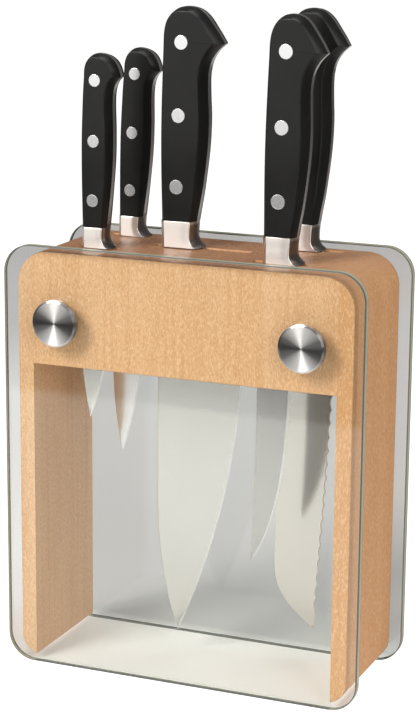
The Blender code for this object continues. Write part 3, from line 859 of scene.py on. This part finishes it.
def blade_ring(name, knife, depth):
    """A blade section: flat spine, even taper, and a narrow bevel at the edge."""
    length = knife["tip"][0] * MM
    spine, edge = blade_sides(name, knife, depth)
    # At the top the spine fairs in under the bolster.
    spine += (knife["set_back"] + 0.4) * MM * ease(1 - (depth - ROOT) / (3.0 * MM))
    cut_in = scallop(name, knife, depth)
    half_spine = knife["thickness"] * MM / 2 * (1 - 0.55 * max(depth, 0.0) / length)
    width = max(edge - spine, 0.05 * MM)
    bevel, half_edge = BEVEL_WIDTH, 0.24 * MM
    if name == "bread":
        bevel = BREAD_BEVEL_WIDTH + FACET_DEPTH * cut_in / SCALLOP_DEPTH
        half_edge = 0.42 * MM
    bevel = min(bevel, 0.3 * width)
    half_edge = min(half_edge, 0.5 * half_spine)
    corner = min(0.25 * MM, 0.2 * width)
    # Each station is (distance from the spine, half the thickness there).
    stations = [(0.0, half_spine - 0.16 * MM * min(1, width / MM)), (corner, half_spine)]
    for share in (0.12, 0.25, 0.38, 0.5, 0.62, 0.74, 0.86, 1.0):
        stations.append((corner + (width - bevel - corner) * share,
                         half_spine + (half_edge - half_spine) * share ** 1.25))
    stations.append((width - cut_in, 0.03 * MM))
    near = [(spine + x, -half, -depth) for x, half in stations]
    far = [(spine + x, half, -depth) for x, half in reversed(stations)]
    return near + far


def blade_rings(name, knife):
    """Sections from the tip up to the root."""
    length, heel_depth = knife["tip"][0] * MM, knife["heel"][0] * MM
    depths = [ROOT + (heel_depth - ROOT) * k / 8 for k in range(9)]
    if name == "bread":
        count = int(SCALLOPS_END * (length - heel_depth) / SCALLOP_LENGTH * 12)
        depths += [heel_depth + SCALLOP_LENGTH * k / 12 for k in range(1, count + 1)]
        start = depths[-1]
        depths += [start + (length - start) * sin(pi / 2 * k / 14) for k in range(1, 14)]
    else:
        depths += [heel_depth + (length - heel_depth) * sin(pi / 2 * k / 60) ** 1.15
                   for k in range(1, 60)]
    depths.append(length - 0.15 * MM)
    return [blade_ring(name, knife, depth) for depth in reversed(depths)]


FOOT_BOTTOM, FOOT_HEIGHT = 0.6 * MM, 6.5 * MM
SWEEP_RADIUS = 6.0 * MM
CORNER_RADIUS = 0.6 * MM
END_ROUND = 0.12 * MM           # how much smaller a bolster's first and last sections are
FACE_FALL = 0.22 * MM           # how much its face falls away before the grip side


def bolster_side(x, inset, half, facing):
    """Half of a bolster's side: bowed, with a tight round where it meets the face."""
    power = 2 if facing > 0 else 3
    tilt = atan(power * inset / half)
    at = half - CORNER_RADIUS * (1 - sin(tilt))
    points = [(x - facing * inset * (k / 6 * at / half) ** power, k / 6 * at) for k in range(6)]
    centre_x = x - facing * (inset * (at / half) ** power + CORNER_RADIUS * cos(tilt))
    for k in range(7):
        a = tilt + (pi / 2 - tilt) * k / 6
        points.append((centre_x + facing * CORNER_RADIUS * cos(a),
                       half - CORNER_RADIUS + CORNER_RADIUS * sin(a)))
    return points


def bolster_ring(knife, height, draw_in=0.0):
    """A bolster section. Its faces are flush with the scales, and its foot sweeps out
    towards the heel."""
    handle = knife["handle"]
    left, right = handle_sides(knife, max(height, 0.0))
    below = min(max(FOOT_HEIGHT - height, 0.0), 0.95 * SWEEP_RADIUS)
    sweep = SWEEP_RADIUS - sqrt(SWEEP_RADIUS ** 2 - below ** 2)
    left, right = left + draw_in, right + sweep - draw_in
    half = handle["bolster_half"] - draw_in
    spine_inset, grip_inset = handle["bolster_insets"]
    near = bolster_side(left, spine_inset, half, -1)
    grip = bolster_side(right, grip_inset + 0.15 * sweep, half, 1)
    face_left, face_right = near[-1][0], grip[-1][0]
    span = face_right - face_left
    near += [(face_left + span * k / 9, half) for k in range(1, 9)]
    near += grip[::-1]
    near = [(x, y * (1 - FACE_FALL / half * ease((x - face_left) / span * 2.6 - 1.6)))
            for x, y in near]
    ring = [(x, -y, height) for x, y in near]
    return ring + [(x, y, height) for x, y in reversed(near[1:-1])]


def make_forging(name, knife, material, edge_material, carrier):
    """Blade, bolster and full tang in one piece of steel."""
    top = knife["handle"]["bolster"]
    heights = [FOOT_BOTTOM + (FOOT_HEIGHT - FOOT_BOTTOM) * (1 - cos(pi / 2 * k / 9))
               for k in range(10)]
    heights += [FOOT_HEIGHT + (top - 0.2 * MM - FOOT_HEIGHT) * k / 3 for k in range(1, 4)]
    rings = [bolster_ring(knife, FOOT_BOTTOM - END_ROUND, END_ROUND)]
    rings += [bolster_ring(knife, height) for height in heights]
    rings.append(bolster_ring(knife, top, END_ROUND))
    bolster = lofted(rings)
    crease(bolster, BOLSTER_SHARP)
    sections = blade_rings(name, knife)
    blade = lofted(sections)
    crease(blade, BLADE_SHARP)
    # The faces round each section run from the spine's near corner over the edge and back.
    around = 2 * EDGE_STATION + 2
    ground = (0, EDGE_STATION - 1, EDGE_STATION, EDGE_STATION + 1, around - 2)
    for i, face in enumerate(blade.faces):
        if i < len(sections) * around and i % around in ground:
            face.material_index = 1
    tang = extruded([(x, z) for x, z, _ in handle_outline(knife, top - MM)],
                    -TANG_HALF, TANG_HALF)
    crease(tang, TANG_SHARP)
    bm = bmesh.new()
    for part in (blade, bolster, tang):
        mesh = bpy.data.meshes.new("part")
        part.to_mesh(mesh)
        part.free()
        bm.from_mesh(mesh)
        bpy.data.meshes.remove(mesh)
    forging = add_object(f"{name}_forging", bm, material)
    forging.data.materials.append(edge_material)
    finish_knife_piece(forging, name, carrier, f"{name}_blade")


RIVET_PROUD = 0.13 * MM         # how far an end stands out past the handle's middle line
RIVET_RIM, RIVET_FALL = 0.25 * MM, 0.06 * MM


def make_rivet(name, knife, order, height, reach, material, carrier):
    handle = knife["handle"]
    radius = handle["rivet_radius"]
    end = half_thickness(handle, height) + RIVET_PROUD
    inner, shoulder = radius - RIVET_RIM, end - RIVET_FALL
    profile = [(0.0, -end), (inner, -end), (radius, -shoulder), (radius, shoulder),
               (inner, end), (0.0, end)]
    bm = turned(profile, 48)
    crease(bm, RIVET_SHARP)
    rise = half_thickness(handle, height + radius) - half_thickness(handle, height - radius)
    for vert in bm.verts:   # the flat ends lean with the handle's taper
        vert.co.y += copysign(1, vert.co.y) * rise * vert.co.z / (2 * radius)
    bmesh.ops.translate(bm, verts=bm.verts, vec=(reach, 0, height))
    rivet = add_object(f"{name}_{order}_rivet_steel", bm, material)
    finish_knife_piece(rivet, name, carrier, f"{name}_{order}_rivet")


def make_knife(name, knife, materials):
    lean = Matrix.Rotation(radians(knife["lean"]), 4, "Y")
    place = Matrix.Translation((knife["spine_x"] * MM, ROW_Y[knife["row"]], WOOD_TOP))
    carrier = place @ lean
    blade = materials.get(f"{name}_blade", materials["satin_blade"])
    edge = materials.get(f"{name}_edge", materials["edge"])
    make_forging(name, knife, blade, edge, carrier)
    for facing in (-1, 1):
        make_scale(name, knife, facing, materials["handle"], carrier)
    for order, (height, reach) in zip(("lower", "middle", "upper"), knife["handle"]["rivets"]):
        across = (reach * knife["width"] + knife["set_back"]) * MM
        make_rivet(name, knife, order, height * MM, across, materials["rivet"], carrier)


# ---- stage, lights, camera

def add_area(name, size, energy, location, target, color=(1, 1, 1)):
    lamp = bpy.data.lights.new(name, "AREA")
    lamp.shape = "RECTANGLE"
    lamp.size, lamp.size_y = size
    lamp.energy = energy
    lamp.color = color
    obj = bpy.data.objects.new(name, lamp)
    bpy.context.collection.objects.link(obj)
    obj.location = location
    aim = Vector(target) - Vector(location)
    obj.rotation_euler = aim.to_track_quat("-Z", "Y").to_euler()


FLOOR_HALF = 7.0
TABLE_POOL_EDGE, TABLE_POOL_LEFT = -0.565, -0.62


def add_floor():
    """A white floor to the camera. Glass and steel show it with painted light, as the studio
    has it: a bright table whose front edge is just in front of the object, painted as a pool of
    light that glows a little, dark floor in front of it and to its left, and grey beyond and
    behind, as painted shade."""
    n = Nodes("stage_pale")
    x, y, _ = n.axes()
    # Painted light: a pool of light where the bright table is, with dark floor painted in front
    # of it and to its left.
    table_light_pool = n.math("MULTIPLY", n.spread(y, TABLE_POOL_EDGE - 0.012, TABLE_POOL_EDGE + 0.012),
                   n.spread(x, TABLE_POOL_LEFT - 0.02, TABLE_POOL_LEFT + 0.02))
    # The floor that shows through the glass is painted greyer than the part beside the left
    # edge: painted shade, darker again far to the right.
    slant = n.math("ADD", x, n.math("MULTIPLY", n.math("ADD", y, 0.04), 0.415))
    behind = n.spread(y, 0.036, 0.050)
    grey = n.mix(n.spread(y, 0.1, 0.9), (0.57, 0.565, 0.56), (0.73, 0.72, 0.715))
    grey = n.mix(n.spread(x, 0.25, 0.35), grey, (0.12, 0.12, 0.12))
    beside = n.math("MULTIPLY", n.spread(slant, -0.080, -0.092),
                    n.spread(y, 0.5, 0.7, 1.0, 0.0))
    grey = n.mix(beside, grey, (0.88, 0.87, 0.86))
    beside = n.math("MULTIPLY", beside, n.spread(y, -0.0415, -0.0405))
    behind = n.math("MAXIMUM", behind, beside)
    tone = n.mix(table_light_pool, (0.05, 0.05, 0.05), (0.84, 0.83, 0.81))
    tone = n.mix(behind, tone, grey)
    # Painted light: the table glows a little where it is not behind, and the floor far in front
    # glows faintly.
    painted_table_glow = n.math("MULTIPLY", table_light_pool, n.spread(behind, 0.0, 1.0, 0.12, 0.0))
    far = n.spread(y, -1.5, -1.1, 0.30, 0.0)
    n.set(Base_Color=tone, Roughness=0.9, Specular_IOR_Level=0.1,
          Emission_Color=(1.0, 0.99, 0.97, 1), Emission_Strength=n.math("ADD", painted_table_glow, far))
    white = n.add("ShaderNodeEmission", Color=(1, 1, 1, 1), Strength=0.95)
    lit = n.add("ShaderNodeBsdfDiffuse", Color=(0.32, 0.32, 0.32, 1))
    to_camera = n.combine("ShaderNodeAddShader", white.outputs[0], lit.outputs[0])
    camera_ray = n.add("ShaderNodeLightPath").outputs["Is Camera Ray"]
    surface = n.combine("ShaderNodeMixShader", camera_ray, n.shader.outputs[0], to_camera)
    n.put(surface, n.output.inputs["Surface"])
    bm = bmesh.new()
    bmesh.ops.create_grid(bm, x_segments=1, y_segments=1, size=FLOOR_HALF)
    add_object("floor", bm, n.material)


def add_studio():
    """White surroundings that are dimmer to everything but the camera, and five lamps."""
    world = bpy.data.worlds.new("studio")
    bpy.context.scene.world = world
    world.use_nodes = True
    nodes, links = world.node_tree.nodes, world.node_tree.links
    background = nodes["Background"]
    background.inputs["Color"].default_value = (1, 1, 1, 1)
    strength = nodes.new("ShaderNodeMapRange")
    strength.inputs["To Min"].default_value = 0.14
    camera_ray = nodes.new("ShaderNodeLightPath").outputs["Is Camera Ray"]
    links.new(camera_ray, strength.inputs["Value"])
    links.new(strength.outputs[0], background.inputs["Strength"])
    add_area("key", (1.2, 1.2), 62, (-1.2, -2.0, 1.7), (0, 0, 0.15), (1.0, 0.97, 0.93))
    add_area("fill", (0.8, 1.7), 22, (1.70, -1.65, 0.95), (0, 0, 0.2))
    add_area("side", (2.0, 2.0), 23, (2.2, 0.2, 2.0), (0, 0, 0.1))
    add_area("top", (1.4, 1.4), 13, (0.1, 0.5, 2.2), (0, 0, 0.1))
    add_area("card", (1.4, 0.6), 3.4, (-0.60, -1.42, 0.40), (0, 0, 0.30))


AZIMUTH, ELEVATION, ROLL = 22.608, 13.521, 0.474    # degrees
TARGET, DISTANCE = (0.0005, 0.0001, 0.1689), 1.11698
LENS = 105.85       # millimetres, over the usual 36 mm sensor


def add_camera():
    azimuth, elevation, roll = radians(AZIMUTH), radians(ELEVATION), radians(ROLL)
    outward = Vector((sin(azimuth) * cos(elevation), -cos(azimuth) * cos(elevation),
                      sin(elevation)))
    forward = -outward
    right = forward.cross(Vector((0, 0, 1))).normalized()
    up = right.cross(forward)
    right, up = cos(roll) * right + sin(roll) * up, cos(roll) * up - sin(roll) * right
    data = bpy.data.cameras.new("camera")
    data.lens = LENS
    camera = bpy.data.objects.new("camera", data)
    bpy.context.collection.objects.link(camera)
    matrix = Matrix((right, up, outward)).transposed().to_4x4()
    matrix.translation = Vector(TARGET) + outward * DISTANCE
    camera.matrix_world = matrix
    bpy.context.scene.camera = camera


# ---- assembly

def main():
    add_camera()
    make_block(beech("visual_beech_block", (0.765, 0.451, 0.246), (0.690, 0.381, 0.191)))
    # Each leg's wood has its own tones, painted light: the right leg's are darker, painted
    # shade where the light falls off to the right.
    for side, name, light, dark, shift in (
            (-1, "left", (0.725, 0.45, 0.262), (0.675, 0.40, 0.22), 0.7),
            (1, "right", (0.69, 0.360, 0.162), (0.625, 0.312, 0.130), 1.9)):
        make_leg(side, f"{name}_leg", beech(f"visual_beech_{name}", light, dark, shift))
    glass, glass_edge, steel = clear_glass(), glass_rim(), turned_steel()
    rubber = plain("visual_rubber", (0.02, 0.02, 0.02), (0.04, 0.04, 0.04), 0.6)
    brass = plain("visual_brass", (0.70, 0.50, 0.22), (0.80, 0.62, 0.32), 0.35, 1.0)
    for place in ("front", "rear"):
        make_panel(place, glass, glass_edge)
        for side in ("left", "right"):
            make_knob(place, side, steel)
            for node, material in ((f"washer_{place}_{side}", rubber),
                                   (f"insert_{place}_{side}", brass)):
                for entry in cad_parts[node].material_slots:
                    entry.material = material
    materials = {"bread_edge": plain("visual_bread_edge", (0.58, 0.575, 0.555),
                                     (0.66, 0.655, 0.635), 0.40, 0.25),
                 "edge": plain("visual_ground_edge", (0.71, 0.71, 0.70), (0.79, 0.79, 0.78),
                               0.32, 1.0),
                 "handle": black_handle(), "rivet": rivet_steel()}
    # The blades are one steel, but each has its own tint: painted light, set lighter or darker
    # blade by blade; the boning knife's is darkest.
    for name, tint in (("satin", (0.655, 0.65, 0.62)), ("paring", (0.76, 0.76, 0.73)),
                       ("utility", (0.79, 0.80, 0.80)), ("boning", (0.50, 0.495, 0.48)),
                       ("bread", (0.645, 0.625, 0.585))):
        materials[f"{name}_blade"] = forged_steel(f"visual_{name}_blade", tint)
    for name, knife in KNIVES.items():
        make_knife(name, knife, materials)
    add_floor()
    add_studio()
    bpy.context.scene.view_settings.view_transform = "Standard"


main()
